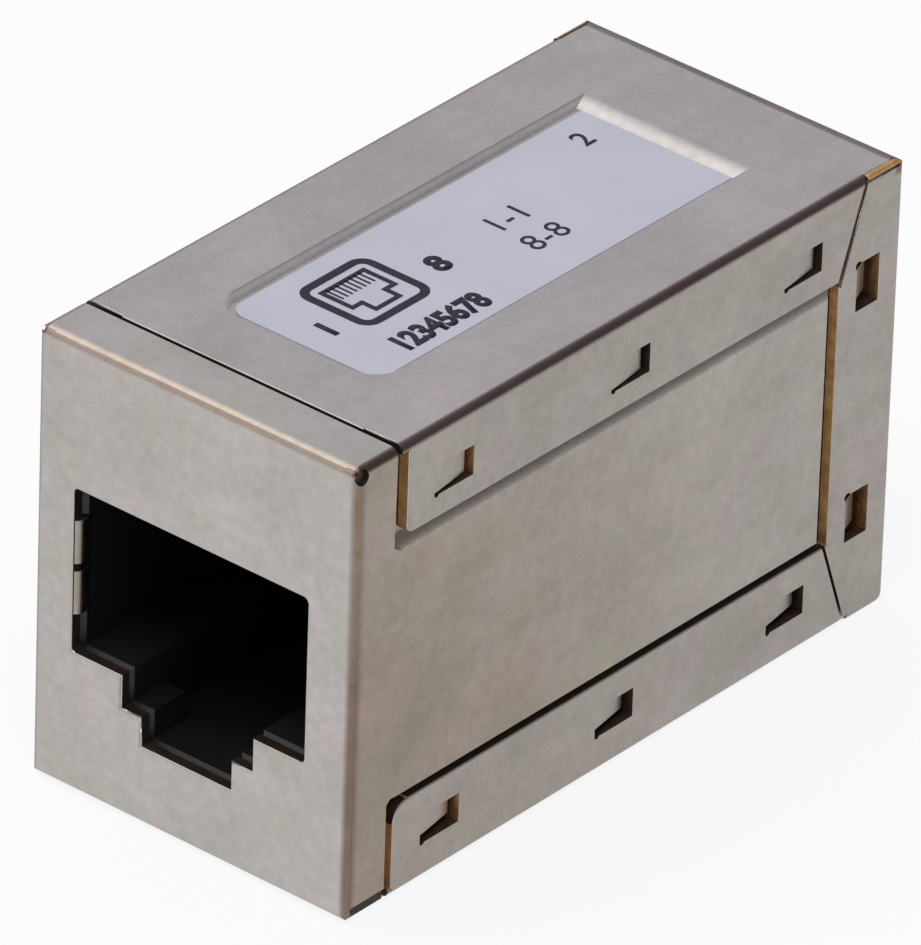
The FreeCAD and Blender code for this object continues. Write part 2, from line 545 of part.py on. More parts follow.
# ---------------------------------------------------------------- sockets
def housing(name):
    block = wide_box(name + "_block", BODY_HALF, (from_front("d.mouth"), from_front(BODY_BACK)),
                     ("d.body_low", BODY_TOP))
    pad_y = (from_front("d.panel_back + d.pad_in"), from_front("d.panel_back + d.pad_in + d.pad_long"))
    pads = wide_box(name + "_pads", INNER + " - d.fit", pad_y, ("d.pad_low", "d.pad_low + d.pad_tall"))
    pegs = []
    for sign in (-1, 1):
        pegs.append(cylinder("%s_peg_%d" % (name, sign + 2), "d.peg", "d.board_gap + d.board_thick",
                             "%d * %s" % (sign, PEG_X), from_front(PEG_BACK), BODY_TOP))
    solid = join(name + "_solid", [block, pads] + pegs)
    tools = []
    levels = [
        ("main", "d.cavity_wide / 2", "d.port_shoulder", "d.cavity_top"),
        ("step", "d.step_wide / 2 - d.side_ledge", "d.step_low", "d.port_shoulder + d.ledge + 0.1"),
        ("notch", "d.notch_wide / 2 - d.side_ledge", "d.notch_low", "d.step_low + d.ledge + 0.1"),
    ]
    mouth_y = (from_front("d.mouth - 0.01"), from_front("d.mouth + d.lead_in"))
    for level, half, low, high in levels:
        floor = low + " + d.ledge"
        tools.append(wide_box("%s_%s" % (name, level), half,
                              (from_front("d.mouth - 0.5"), from_front(CAVITY_BACK)),
                              (floor, high), PORT_X))
        x_in = ("d.port_shift - (%s)" % half, "d.port_shift + (%s)" % half)
        x_out = (x_in[0] + " - d.lead_in", x_in[1] + " + d.lead_in")
        top_in = high
        top_out = high + " + d.lead_in" if level == "main" else high
        tools.append(frustum_y("%s_%s_lead" % (name, level), mouth_y,
                               x_out, (floor + " - d.lead_in", top_out), x_in, (floor, top_in)))
    tools.append(wide_box(name + "_latch_room", "d.step_wide / 2 - d.side_ledge",
                          (from_front("d.mouth + d.latch_wall"), from_front(CAVITY_BACK)),
                          ("d.notch_low + d.ledge", "d.step_low + d.ledge + 0.1"), PORT_X))
    tools.append(wide_box(name + "_well", "d.well_wide / 2",
                          (from_front("d.well_front"), from_front("d.well_back")),
                          ("d.cavity_top - 0.1", BODY_TOP + " + 1"), PORT_X))
    tools.append(wide_box(name + "_lip_room", "d.port_wide / 2 - d.ground_in + d.ground_bend + d.ground_room",
                          (from_front("d.mouth - 0.5"), from_front("d.ground_deep + d.ground_room")),
                          ("d.ground_low - d.ground_room",
                           "d.ground_low + d.ground_pitch + d.ground_tall + d.ground_room"), PORT_X))
    return cut(name, solid, tools)


def carrier(name):
    half = "d.well_wide / 2 - d.fit"
    y = (from_front("d.well_front + d.fit"), from_front("d.well_back - d.fit"))
    low = RUN_HIGH + " + d.wire / 2 + d.fit"
    block = wide_box(name + "_block", half, y, (low, BODY_TOP), PORT_X)
    ribs = []
    for i in range(9):
        centre = "d.port_shift + (%d - 4) * d.pitch" % i
        ribs.append(wide_box("%s_rib_%d" % (name, i + 1), "d.comb_rib / 2", y,
                             (low + " - d.comb_deep", low), centre))
    holes = []
    for i in range(8):
        centre = "d.port_shift + (%d - 3.5) * d.pitch" % i
        pin = "d.pin_near" if i % 2 == 0 else "d.pin_far"
        holes.append(wide_box("%s_hole_%d" % (name, i + 1), "d.wire / 2 + d.fit",
                              (from_front(pin + " - d.wire / 2 - d.fit"),
                               from_front(pin + " + d.wire / 2 + d.fit")),
                              (low + " - 0.1", BODY_TOP + " + 1"), centre))
    return cut(name, join(name + "_solid", [block] + ribs), holes)


def contact(name, i):
    centre = "d.port_shift + (%d - 3.5) * d.pitch" % i
    pin = "d.pin_near" if i % 2 == 0 else "d.pin_far"
    half = "d.wire / 2"
    run_z = (RUN_HIGH + " - d.wire / 2", RUN_HIGH + " + d.wire / 2")
    pin_y = (from_front(pin + " - d.wire / 2"), from_front(pin + " + d.wire / 2"))
    leg = wide_box(name + "_leg", half, pin_y, (run_z[0], BOARD_HIGH + " + d.pin_out"), centre)
    run = wide_box(name + "_run", half, (from_front("d.nose"), pin_y[1]), run_z, centre)
    hub_z = RUN_HIGH + " - d.wire / 2 - d.wire_bend"
    turn = FreeCAD.Rotation(FreeCAD.Vector(1, 1, 1), 120).multiply(FreeCAD.Rotation(ALONG_Z, 90))
    rings = []
    for tag, radius in (("outer", "d.wire_bend + d.wire"), ("inner", "d.wire_bend")):
        ring = doc.addObject("Part::Cylinder", "%s_%s" % (name, tag))
        ring.Placement.Rotation = turn
        bind(ring, Radius=radius, Height="d.wire", Angle="180 - d.spring_tilt")
        place(ring, centre + " - d.wire / 2", from_front("d.nose"), hub_z)
        rings.append(ring)
    bend = cut(name + "_bend", rings[0], [rings[1]])
    arm = doc.addObject("Part::Box", name + "_arm")
    bind(arm, Length="d.wire", Width="d.spring_long", Height="d.wire")
    arm.Placement.Rotation = FreeCAD.Rotation(ALONG_X, 0)
    arm.setExpression("Placement.Rotation.Angle", "-d.spring_tilt")
    arm.setExpression("Placement.Rotation.Axis.x", "1")
    arm.setExpression("Placement.Rotation.Axis.z", "0")
    reach = "(d.wire_bend + d.wire)"
    place(arm, centre + " - d.wire / 2",
          from_front("d.nose - %s * sin(d.spring_tilt * 1deg)" % reach),
          "%s - %s * cos(d.spring_tilt * 1deg)" % (hub_z, reach))
    return join(name, [leg, run, bend, arm])


pieces = [front_shell, wrap_cover, label]
for end in ("front", "rear"):
    made = [housing(end + "_housing"), carrier(end + "_carrier")]
    made += [contact("%s_contact_%d" % (end, i + 1), i) for i in range(8)]
    if end == "rear":
        for piece in made:
            turned(piece)
    pieces += made

# ---------------------------------------------------------------- board
board_plate = wide_box("board_plate", BODY_HALF + " - d.board_side",
                       (from_front("d.board_end"), REAR + " - d.board_end"), (BOARD_LOW, BOARD_HIGH))
through = (BOARD_LOW + " - 0.5", BOARD_HIGH + " + 0.5")
board_holes = []
for end, sign in (("front", 1), ("rear", -1)):
    for i in range(8):
        pin = "d.pin_near" if i % 2 == 0 else "d.pin_far"
        x = "%d * (d.port_shift + (%d - 3.5) * d.pitch)" % (sign, i)
        y = "%d * (%s)" % (sign, from_front(pin))
        board_holes.append(wide_box("board_%s_hole_%d" % (end, i + 1), "d.pin_hole",
                                    (y + " - d.pin_hole", y + " + d.pin_hole"), through, x))
    for side in (-1, 1):
        board_holes.append(cylinder("board_%s_peg_hole_%d" % (end, side + 2), "d.peg + d.fit",
                                    "d.board_thick + 1", "%d * %s" % (side, PEG_X),
                                    "%d * (%s)" % (sign, from_front(PEG_BACK)), through[0]))
circuit_board = cut("circuit_board", board_plate, board_holes)
pieces.append(circuit_board)

doc.recompute()
for obj in doc.Objects:
    if "Invalid" in obj.State or "Error" in obj.State:
        raise RuntimeError("%s did not compute: %s" % (obj.Name, obj.State))
for piece in pieces:
    shape = piece.Shape
    if shape.isNull() or not shape.isValid() or len(shape.Solids) != 1:
        raise RuntimeError("%s: bad shape, %d solids" % (piece.Name, len(shape.Solids)))
    piece.Label = piece.Name
    shape.exportStep("parts/%s.step" % piece.Name)
    print("%-20s %8.2f mm3" % (piece.Name, shape.Volume))
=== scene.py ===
import math

import bmesh
import bpy
from mathutils import Matrix, Vector


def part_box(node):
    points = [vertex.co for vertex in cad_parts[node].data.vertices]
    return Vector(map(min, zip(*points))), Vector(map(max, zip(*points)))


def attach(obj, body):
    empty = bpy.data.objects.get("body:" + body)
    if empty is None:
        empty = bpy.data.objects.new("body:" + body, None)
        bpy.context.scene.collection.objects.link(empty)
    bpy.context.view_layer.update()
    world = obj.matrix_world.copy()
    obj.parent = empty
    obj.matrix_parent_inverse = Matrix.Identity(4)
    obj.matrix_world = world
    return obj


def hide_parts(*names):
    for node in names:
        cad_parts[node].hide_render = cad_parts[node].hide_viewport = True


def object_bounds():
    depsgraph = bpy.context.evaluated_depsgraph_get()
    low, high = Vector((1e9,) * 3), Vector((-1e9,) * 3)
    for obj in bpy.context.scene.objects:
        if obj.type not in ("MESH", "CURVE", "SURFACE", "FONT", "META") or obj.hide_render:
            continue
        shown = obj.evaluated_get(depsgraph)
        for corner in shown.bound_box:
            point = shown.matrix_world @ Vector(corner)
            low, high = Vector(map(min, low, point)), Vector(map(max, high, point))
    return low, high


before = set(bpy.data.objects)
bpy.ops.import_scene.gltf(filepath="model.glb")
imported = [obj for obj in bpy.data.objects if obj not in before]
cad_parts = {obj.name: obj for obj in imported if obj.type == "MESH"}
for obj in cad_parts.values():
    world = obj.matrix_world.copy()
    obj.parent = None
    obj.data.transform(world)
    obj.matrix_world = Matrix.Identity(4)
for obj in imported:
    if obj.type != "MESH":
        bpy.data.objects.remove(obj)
cad_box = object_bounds()
MM = 0.001
WIDTH, LENGTH, HEIGHT = (high - low for low, high in zip(*cad_box))
HALF, REACH = WIDTH / 2, LENGTH / 2
SHEET = 0.5 * MM
LABEL_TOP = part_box("label")[1][2]


# ---------------------------------------------------------------- object helpers
def mesh_from(bm, name, *materials):
    """Turns a bmesh into a mesh with the given materials."""
    mesh = bpy.data.meshes.new(name)
    bm.to_mesh(mesh)
    bm.free()
    for material in materials:
        mesh.materials.append(material)
    return mesh


def add_object(name, data):
    obj = bpy.data.objects.new(name, data)
    bpy.context.scene.collection.objects.link(obj)
    return obj


# ---------------------------------------------------------------- node helpers
def new_material(name):
    """A material with a Principled shader, and that shader."""
    mat = bpy.data.materials.new(name)
    mat.use_nodes = True
    nodes = mat.node_tree.nodes
    nodes.clear()
    out = nodes.new("ShaderNodeOutputMaterial")
    bsdf = nodes.new("ShaderNodeBsdfPrincipled")
    mat.node_tree.links.new(bsdf.outputs["BSDF"], out.inputs["Surface"])
    return mat, bsdf


class Graph:
    """Short calls for building a node tree."""

    def __init__(self, tree):
        self.tree = tree

    def node(self, kind, **props):
        made = self.tree.nodes.new(kind)
        for key, value in props.items():
            setattr(made, key, value)
        return made

    def link(self, a, b):
        self.tree.links.new(a, b)

    def feed(self, socket, value):
        """Links an output to a socket, or sets the socket to a constant."""
        if hasattr(value, "is_output"):
            self.link(value, socket)
        else:
            socket.default_value = value

    def math(self, op, a, b=0.0):
        made = self.node("ShaderNodeMath", operation=op)
        self.feed(made.inputs[0], a)
        self.feed(made.inputs[1], b)
        return made.outputs[0]

    def noise(self, vector, scale, detail=3.0, rough=0.5):
        made = self.node("ShaderNodeTexNoise")
        self.link(vector, made.inputs["Vector"])
        made.inputs["Scale"].default_value = scale
        made.inputs["Detail"].default_value = detail
        made.inputs["Roughness"].default_value = rough
        return made.outputs["Fac"]

    def stretch(self, vector, scale, move=(0, 0, 0)):
        made = self.node("ShaderNodeMapping")
        self.link(vector, made.inputs["Vector"])
        made.inputs["Scale"].default_value = scale
        made.inputs["Location"].default_value = move
        return made.outputs["Vector"]

    def remap(self, value, lo, hi, to_lo=0.0, to_hi=1.0):
        made = self.node("ShaderNodeMapRange", clamp=True)
        self.feed(made.inputs["Value"], value)
        made.inputs["From Min"].default_value = lo
        made.inputs["From Max"].default_value = hi
        made.inputs["To Min"].default_value = to_lo
        made.inputs["To Max"].default_value = to_hi
        return made.outputs["Result"]

    def mix(self, fac, a, b, mode="MIX"):
        made = self.node("ShaderNodeMix", data_type="RGBA", blend_type=mode)
        self.feed(made.inputs["Factor"], fac)
        self.feed(made.inputs["A"], a)
        self.feed(made.inputs["B"], b)
        return made.outputs["Result"]

    def dot(self, vector, axis):
        made = self.node("ShaderNodeVectorMath", operation="DOT_PRODUCT")
        self.link(vector, made.inputs[0])
        made.inputs[1].default_value = Vector(axis).normalized()
        return made.outputs["Value"]

    def bump(self, height, strength, distance):
        made = self.node("ShaderNodeBump")
        self.link(height, made.inputs["Height"])
        made.inputs["Strength"].default_value = strength
        made.inputs["Distance"].default_value = distance
        return made.outputs["Normal"]


def new_group(name, inputs, outputs):
    """A shader node group with named sockets: its graph, its input node and its output node."""
    tree = bpy.data.node_groups.new(name, "ShaderNodeTree")
    for label, kind, value in inputs:
        socket = tree.interface.new_socket(label, in_out="INPUT", socket_type=kind)
        if value is not None:
            socket.default_value = value
    for label, kind in outputs:
        tree.interface.new_socket(label, in_out="OUTPUT", socket_type=kind)
    graph = Graph(tree)
    return graph, graph.node("NodeGroupInput"), graph.node("NodeGroupOutput")


def use_group(graph, group, **values):
    made = graph.node("ShaderNodeGroup")
    made.node_tree = group
    for key, value in values.items():
        graph.feed(made.inputs[key], value)
    return made


def object_coordinates(graph):
    return graph.node("ShaderNodeTexCoord").outputs["Object"]


# ---------------------------------------------------------------- materials
def plating_group():
    """Mottled plating: broad clouds, two tinted blotches, drawn streaks and a fine grain."""
    graph, inp, out = new_group(
        "plating",
        [("Position", "NodeSocketVector", None), ("Pale", "NodeSocketColor", (0.5, 0.5, 0.5, 1)),
         ("Rosy", "NodeSocketColor", (0.5, 0.5, 0.5, 1)),
         ("Olive", "NodeSocketColor", (0.5, 0.5, 0.5, 1))],
        [("Color", "NodeSocketColor"), ("Roughness", "NodeSocketFloat"),
         ("Normal", "NodeSocketVector")])
    pos = inp.outputs["Position"]
    shifted = graph.stretch(pos, (1.0, 0.9, 1.1), (0.13, 0.37, 0.71))
    rosy = graph.remap(graph.noise(pos, 400, 4, 0.55), 0.42, 0.66)
    olive = graph.remap(graph.noise(shifted, 310, 4, 0.55), 0.42, 0.66)
    cloud = graph.remap(graph.noise(shifted, 210, 3, 0.5), 0.32, 0.68, 0.93, 1.05)
    fleck = graph.remap(graph.noise(pos, 1900, 3, 0.65), 0.3, 0.7, 0.93, 1.06)
    drawn = graph.noise(graph.stretch(pos, (1100, 70, 1100)), 1.0, 2, 0.5)
    grain = graph.noise(pos, 9000, 2, 0.6)
    color = graph.mix(graph.math("MULTIPLY", rosy, 0.85), inp.outputs["Pale"], inp.outputs["Rosy"])
    color = graph.mix(graph.math("MULTIPLY", olive, 0.75), color, inp.outputs["Olive"])
    shade = graph.math("MULTIPLY", graph.math("MULTIPLY", cloud, fleck),
                       graph.remap(graph.math("ADD", graph.math("MULTIPLY", grain, 0.6),
                                              graph.math("MULTIPLY", drawn, 0.4)), 0.3, 0.7, 0.94, 1.05))
    color = graph.mix(1.0, color, shade, "MULTIPLY")
    graph.link(color, out.inputs["Color"])
    rough = graph.math("ADD", graph.remap(fleck, 0.93, 1.06, 0.33, 0.27),
                       graph.remap(grain, 0.3, 0.7, -0.03, 0.04))
    graph.link(rough, out.inputs["Roughness"])
    height = graph.math("ADD", graph.math("MULTIPLY", grain, 0.5), graph.math("MULTIPLY", drawn, 0.5))
    graph.link(graph.bump(height, 0.04, 0.00002), out.inputs["Normal"])
    return graph.tree


PLATING = plating_group()
# Painted shade on the sides, warm-tinted, growing towards their front and bottom.
WARM_PAINTED_SHADE = (0.80, 0.725, 0.66, 1)
FRONT_BEND_TINT = (0.98, 0.90, 0.82, 1)
CREASE_TINT = (0.72, 0.62, 0.55, 1)
# Painted shade along the rear top bend, which holds back its highlight.
REAR_BEND_PAINTED_SHADE = (0.40, 0.37, 0.36, 1)
# Painted shade on the upright bends beside the front face, in place of a dark reflection.
UPRIGHT_PAINTED_SHADE = (0.66, 0.56, 0.51, 1)
# Painted shade along the long top bends, in place of a dark reflection.
LONG_BEND_PAINTED_SHADE = (0.46, 0.365, 0.365, 1)


def shade_and_tint_group():
    """Colour by place, mostly painted shade: painted shade on the sides, growing towards their front and
    bottom, and along the long, upright and rear bends; a warmer tint along the front bend, darker along
    its middle line. Flank is 1 where the surface faces sideways."""
    graph, inp, out = new_group(
        "painted_shade_and_tints",
        [("Position", "NodeSocketVector", None), ("Color", "NodeSocketColor", (0.5, 0.5, 0.5, 1)),
         ("Side Front", "NodeSocketFloat", 1.0), ("Side Rear", "NodeSocketFloat", 0.2),
         ("Painted Side Shade Colour", "NodeSocketColor", (0.8, 0.79, 0.765, 1)),
         ("Flank", "NodeSocketFloat", 0.0)],
        [("Color", "NodeSocketColor")])
    pos = inp.outputs["Position"]
    split = graph.node("ShaderNodeSeparateXYZ")
    graph.link(pos, split.inputs[0])
    side = graph.math("ABSOLUTE", split.outputs["X"])
    along, up = split.outputs["Y"], split.outputs["Z"]
    patch = graph.remap(graph.noise(pos, 330, 4, 0.6), 0.3, 0.7, 0.7, 1.2)

    def bend(first, first_end, second, second_end, wide, soft):
        """1 inside a bend of the given width between two outer faces, fading over soft."""
        masks = []
        for value, end in ((first, first_end), (second, second_end)):
            if end > 0:
                masks.append(graph.remap(value, end - wide, end - wide + soft))
            else:
                masks.append(graph.remap(value, end + wide - soft, end + wide, 1.0, 0.0))
        return graph.math("MULTIPLY", masks[0], masks[1])

    color = inp.outputs["Color"]
    # Painted shade on the sideways faces, stronger towards the front and the bottom of the sides, in
    # patches.
    beside = graph.remap(inp.outputs["Flank"], 0.35, 0.85)
    forward = graph.remap(along, -REACH, LENGTH * 0.2, 1.0, 0.0)
    growth = graph.math("SUBTRACT", inp.outputs["Side Front"], inp.outputs["Side Rear"])
    painted_side_shade = graph.math("ADD", inp.outputs["Side Rear"], graph.math("MULTIPLY", forward, growth))
    painted_side_shade = graph.math("MULTIPLY", graph.math("MULTIPLY", painted_side_shade, beside),
                      graph.math("MULTIPLY", patch, graph.remap(up, 2 * MM, 18 * MM, 1.2, 0.6)))
    color = graph.mix(beside, color, inp.outputs["Painted Side Shade Colour"], "MULTIPLY")
    color = graph.mix(painted_side_shade, color, WARM_PAINTED_SHADE, "MULTIPLY")
    # Painted shade along the long top bends.
    long_bend = bend(side, HALF, up, HEIGHT, 0.38 * MM, 0.12 * MM)
    # Painted shade on the upright bends beside the front face, in patches.
    outer = graph.remap(side, HALF - 0.34 * MM, HALF - 0.12 * MM)
    upright = graph.math("MULTIPLY", outer,
                         graph.remap(along, 0.40 * MM - REACH, 0.72 * MM - REACH, 1.0, 0.0))
    # Painted shade along the rear top bend.
    rear_bend = bend(along, REACH, up, HEIGHT, 0.75 * MM, 0.2 * MM)
    # A warmer tint along the front bend, darker along its middle line in patches.
    front_bend = bend(up, HEIGHT, along, -REACH, 0.45 * MM, 0.12 * MM)
    down, behind = graph.math("SUBTRACT", HEIGHT, up), graph.math("ADD", along, REACH)
    off_crease = graph.math("ABSOLUTE", graph.math("SUBTRACT", down, behind))
    crease = graph.remap(off_crease, 0.03 * MM, 0.09 * MM, 1.0, 0.0)
    crease_line = graph.math("MULTIPLY", graph.math("MULTIPLY", crease, front_bend), patch)
    color = graph.mix(front_bend, color, FRONT_BEND_TINT, "MULTIPLY")
    color = graph.mix(crease_line, color, CREASE_TINT, "MULTIPLY")
    color = graph.mix(graph.math("MULTIPLY", rear_bend, 0.9), color, REAR_BEND_PAINTED_SHADE, "MULTIPLY")
    color = graph.mix(graph.math("MULTIPLY", upright, patch), color, UPRIGHT_PAINTED_SHADE, "MULTIPLY")
    color = graph.mix(long_bend, color, LONG_BEND_PAINTED_SHADE, "MULTIPLY")
    graph.link(color, out.inputs["Color"])
    return graph.tree


SHADE_AND_TINT = shade_and_tint_group()


def plated_metal(name, pale, rosy, olive, side_front, side_rear, painted_side_shade_colour):
    """Dull nickel plating in three tints, with painted shade on its sides and bends and a tinted front
    bend. The sheets carry the flank attribute.
    """
    mat, bsdf = new_material(name)
    graph = Graph(mat.node_tree)
    group = use_group(graph, PLATING, Position=object_coordinates(graph), Pale=pale, Rosy=rosy,
                      Olive=olive)
    flank = graph.node("ShaderNodeAttribute", attribute_name="flank")
    shaded_and_tinted = use_group(graph, SHADE_AND_TINT, **{
        "Position": object_coordinates(graph), "Color": group.outputs["Color"],
        "Side Front": side_front, "Side Rear": side_rear, "Painted Side Shade Colour": painted_side_shade_colour,
        "Flank": flank.outputs["Fac"]})
    bsdf.inputs["Metallic"].default_value = 1.0
    bsdf.inputs["Specular Tint"].default_value = (0.80, 0.79, 0.78, 1)
    graph.link(shaded_and_tinted.outputs["Color"], bsdf.inputs["Base Color"])
    graph.link(group.outputs["Roughness"], bsdf.inputs["Roughness"])
    graph.link(group.outputs["Normal"], bsdf.inputs["Normal"])
    return mat


def resin(name, color, lift, rough):
    """Moulded plastic with a faint cloud and a fine spark-eroded texture."""
    mat, bsdf = new_material(name)
    graph = Graph(mat.node_tree)
    pos = object_coordinates(graph)
    cloud = graph.remap(graph.noise(pos, 260, 3), 0.35, 0.65)
    grain = graph.noise(pos, 9000, 2)
    graph.link(graph.mix(cloud, color, lift), bsdf.inputs["Base Color"])
    graph.link(graph.remap(grain, 0.3, 0.7, rough - 0.05, rough + 0.06), bsdf.inputs["Roughness"])
    graph.link(graph.bump(grain, 0.12, 0.00002), bsdf.inputs["Normal"])
    return mat


def gold(name):
    """Gold-plated spring wire, drawn along its length."""
    mat, bsdf = new_material(name)
    graph = Graph(mat.node_tree)
    pos = object_coordinates(graph)
    cloud = graph.remap(graph.noise(pos, 700, 3), 0.35, 0.65)
    bsdf.inputs["Metallic"].default_value = 1.0
    graph.link(graph.mix(cloud, (0.86, 0.62, 0.24, 1), (0.74, 0.50, 0.20, 1)), bsdf.inputs["Base Color"])
    graph.link(graph.remap(graph.noise(graph.stretch(pos, (4000, 300, 4000)), 1.0), 0.3, 0.7, 0.2, 0.34),
               bsdf.inputs["Roughness"])
    return mat


def cut_brass(name, bright, dark, metal):
    """Sheared brass: rougher than the plated face, smeared plating and short shear marks."""
    mat, bsdf = new_material(name)
    graph = Graph(mat.node_tree)
    pos = object_coordinates(graph)
    smear = graph.remap(graph.noise(pos, 1500, 3, 0.6), 0.3, 0.7)
    marks = graph.noise(pos, 6000, 2)
    bsdf.inputs["Metallic"].default_value = metal
    graph.link(graph.mix(smear, bright, dark), bsdf.inputs["Base Color"])
    graph.link(graph.remap(marks, 0.3, 0.7, 0.45, 0.62), bsdf.inputs["Roughness"])
    graph.link(graph.bump(marks, 0.25, 0.00003), bsdf.inputs["Normal"])
    return mat


def paper(name):
    """Pale label stock with a faint fibre."""
    mat, bsdf = new_material(name)
    graph = Graph(mat.node_tree)
    pos = object_coordinates(graph)
    cloud = graph.remap(graph.noise(pos, 300, 3), 0.35, 0.65)
    fibre = graph.noise(graph.stretch(pos, (9000, 5000, 9000)), 1.0, 3)
    graph.link(graph.mix(cloud, (0.445, 0.446, 0.522, 1), (0.423, 0.424, 0.498, 1)),
               bsdf.inputs["Base Color"])
    graph.link(graph.remap(fibre, 0.3, 0.7, 0.42, 0.55), bsdf.inputs["Roughness"])
    graph.link(graph.bump(fibre, 0.08, 0.00001), bsdf.inputs["Normal"])
    return mat


def ink(name):
    """Dark matt print."""
    mat, bsdf = new_material(name)
    graph = Graph(mat.node_tree)
    pos = object_coordinates(graph)
    speck = graph.remap(graph.noise(pos, 7000, 2), 0.35, 0.7)
    graph.link(graph.mix(speck, (0.012, 0.011, 0.022, 1), (0.024, 0.022, 0.040, 1)),
               bsdf.inputs["Base Color"])
    bsdf.inputs["Roughness"].default_value = 0.55
    bsdf.inputs["Specular IOR Level"].default_value = 0.2
    return mat


def board_green(name):
    """Board laminate with its woven glass showing through."""
    mat, bsdf = new_material(name)
    graph = Graph(mat.node_tree)
    pos = object_coordinates(graph)
    weave = graph.noise(graph.stretch(pos, (2600, 2600, 400)), 1.0, 1)
    graph.link(graph.mix(graph.remap(weave, 0.4, 0.6), (0.01, 0.09, 0.035, 1), (0.015, 0.12, 0.05, 1)),
               bsdf.inputs["Base Color"])
    bsdf.inputs["Roughness"].default_value = 0.35
    return mat


# The last three values set the painted side shade: its strength at the front, its strength at the rear,
# and its colour.
NICKEL_SHELL = plated_metal("nickel_shell", (0.487, 0.466, 0.451, 1), (0.495, 0.446, 0.439, 1),
                            (0.451, 0.445, 0.397, 1), 1.35, 0.12, (0.82, 0.81, 0.785, 1))
NICKEL_WRAP = plated_metal("nickel_wrap", (0.474, 0.454, 0.456, 1), (0.482, 0.440, 0.446, 1),
                           (0.440, 0.432, 0.404, 1), 0.45, 0.20, (0.815, 0.795, 0.755, 1))
CUT_EDGE = cut_brass("cut_brass", (0.86, 0.54, 0.24, 1), (0.52, 0.29, 0.12, 1), 1.0)
# Darker copies of the sheared brass: painted shade and painted deep shade for cut faces in windows,
# gaps, holes and round the port.
PAINTED_SHADE_EDGE = cut_brass("cut_brass_painted_shade", (0.115, 0.070, 0.047, 1), (0.052, 0.033, 0.024, 1), 0.7)
PAINTED_DEEP_SHADE_EDGE = cut_brass("cut_brass_painted_deep_shade", (0.050, 0.032, 0.022, 1), (0.022, 0.016, 0.012, 1), 0.6)
BLACK = resin("black_resin", (0.004, 0.004, 0.0045, 1), (0.007, 0.007, 0.0075, 1), 0.46)
COMB = resin("carrier_resin", (0.014, 0.014, 0.015, 1), (0.022, 0.022, 0.024, 1), 0.5)
GOLD = gold("contact_gold")
PAPER = paper("label_paper")
INK = ink("label_ink")
GREEN = board_green("board_green")


# ---------------------------------------------------------------- folded metal
# Surfaces of a folded sheet: plated, sheared, sheared with painted deep shade, sheared with painted
# shade, and eased.
PLATED, CUT, PAINTED_DEEP_SHADE, PAINTED_SHADE, BLEND = range(5)
SHEARED = (CUT, PAINTED_DEEP_SHADE, PAINTED_SHADE)
TOL = 0.06 * MM                 # play when a face is sorted by its place
ON = 0.002 * MM                 # a point this near the outside lies on it
NEAR = 0.01 * MM                # the same, for points on a bend
FOLD = 0.42 * MM                # outside radius along the sides
FACE_FOLD = 0.65 * MM           # outside radius along the two end faces
REAR_EDGE = 0.25 * MM           # outside radius behind the upper mitre
TIGHT = 1.7                     # how much sooner an end fold turns than a plain arc
MITRE_TOP = REACH - 2.39 * MM   # where the upper mitre meets the top
LONG_RUN = 5 * MM               # a cut face longer than this belongs to a flap, not to a window
RECESS_DEEP = 0.32 * MM         # the walls of the label recess lie above this depth
RECESS_LEAN = 0.22 * MM         # how far those walls lean outwards at their top
TAB_EXTRA = 0.12 * MM           # further bend at the free end of a tab
EASE = 0.07 * MM                # slope along the outline of a cut
PORT_EASE = 0.10 * MM           # the same round the port
# Windows and the corner hole, as from and to along the body from its front, then in height, in mm.
WINDOWS = [(4.3, 32.4, 17.35, 19.1), (4.1, 28.6, 1.5, 3.2), (30.3, 32.4, 3.6, 6.3),
           (30.3, 32.4, 14.4, 17.1), (0.05, 0.8, 19.9, 20.68)]


